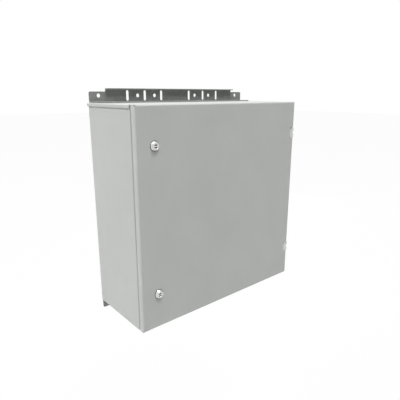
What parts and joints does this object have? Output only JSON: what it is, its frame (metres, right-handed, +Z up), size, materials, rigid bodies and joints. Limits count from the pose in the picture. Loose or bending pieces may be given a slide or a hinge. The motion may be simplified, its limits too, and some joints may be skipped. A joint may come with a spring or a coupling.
{
  "type": "telecom cabinet",
  "caption": "Square light-grey sheet steel outdoor telecom cabinet with a hinged door, quarter-turn locks, a roof cap and slotted brackets for wall or pole fixing.",
  "frame": {"origin": "centre of the four wall holes, on the rear face of the two brackets, midway up the cabinet", "axes": "+X to the hinge side, +Y to the wall or pole, +Z up; the door faces -Y"},
  "size_m": [0.61, 0.253, 0.678],
  "materials": {
    "cabinet_paint": "light grey polyester powder coat, satin",
    "galvanised_bracket": "dull hot-dip galvanised",
    "galvanised_sheet": "galvanised sheet, satin",
    "zinc_fasteners": "zinc plated",
    "hinge_zinc": "zinc plated and coated light grey",
    "lock_zinc": "satin nickel on zinc die casting",
    "foam_rubber": "closed-cell foam, matt"
  },
  "bodies": {
    "cabinet": {"body_shell": "cabinet_paint", "roof_cap": "cabinet_paint", "upper_bracket": "galvanised_bracket", "lower_bracket": "galvanised_bracket", "bracket_studs": "zinc_fasteners", "bracket_seal_washers": "foam_rubber", "bracket_nuts": "zinc_fasteners", "mounting_plate": "galvanised_sheet", "plate_studs": "zinc_fasteners", "plate_spacers": "zinc_fasteners", "plate_screws": "zinc_fasteners", "gland_plate": "cabinet_paint", "gland_gasket": "foam_rubber", "gland_screws": "zinc_fasteners", "gland_nuts": "zinc_fasteners", "body_earth_stud": "zinc_fasteners", "body_earth_nut": "zinc_fasteners", "upper_hinge_frame_leaf": "hinge_zinc", "lower_hinge_frame_leaf": "hinge_zinc", "upper_hinge_pin": "hinge_zinc", "lower_hinge_pin": "hinge_zinc", "hinge_screws": "zinc_fasteners", "hinge_screw_nuts": "zinc_fasteners"},
    "door": {"door_panel": "cabinet_paint", "door_gasket": "foam_rubber", "left_door_rail": "galvanised_sheet", "right_door_rail": "galvanised_sheet", "upper_hinge_door_leaf": "hinge_zinc", "lower_hinge_door_leaf": "hinge_zinc", "hinge_studs": "zinc_fasteners", "hinge_stud_nuts": "zinc_fasteners", "door_earth_stud": "zinc_fasteners", "door_earth_nut": "zinc_fasteners", "upper_lock_housing": "lock_zinc", "lower_lock_housing": "lock_zinc", "upper_lock_seal": "foam_rubber", "lower_lock_seal": "foam_rubber", "upper_lock_nut": "zinc_fasteners", "lower_lock_nut": "zinc_fasteners"},
    "upper_lock": {"upper_lock_core": "lock_zinc", "upper_lock_cam": "zinc_fasteners", "upper_lock_screw": "zinc_fasteners"},
    "lower_lock": {"lower_lock_core": "lock_zinc", "lower_lock_cam": "zinc_fasteners", "lower_lock_screw": "zinc_fasteners"}
  },
  "joints": [
    {"name": "door_hinge", "type": "hinge", "parent": "cabinet", "child": "door", "pos_m": [0.3, -0.23875, 0], "axis": [0, 0, 1], "range_deg": [0, 120]},
    {"name": "upper_lock_turn", "type": "hinge", "parent": "door", "child": "upper_lock", "pos_m": [-0.247, -0.24, 0.2], "axis": [0, 1, 0], "range_deg": [0, 90]},
    {"name": "lower_lock_turn", "type": "hinge", "parent": "door", "child": "lower_lock", "pos_m": [-0.247, -0.24, -0.2], "axis": [0, 1, 0], "range_deg": [0, 90]}
  ]
}
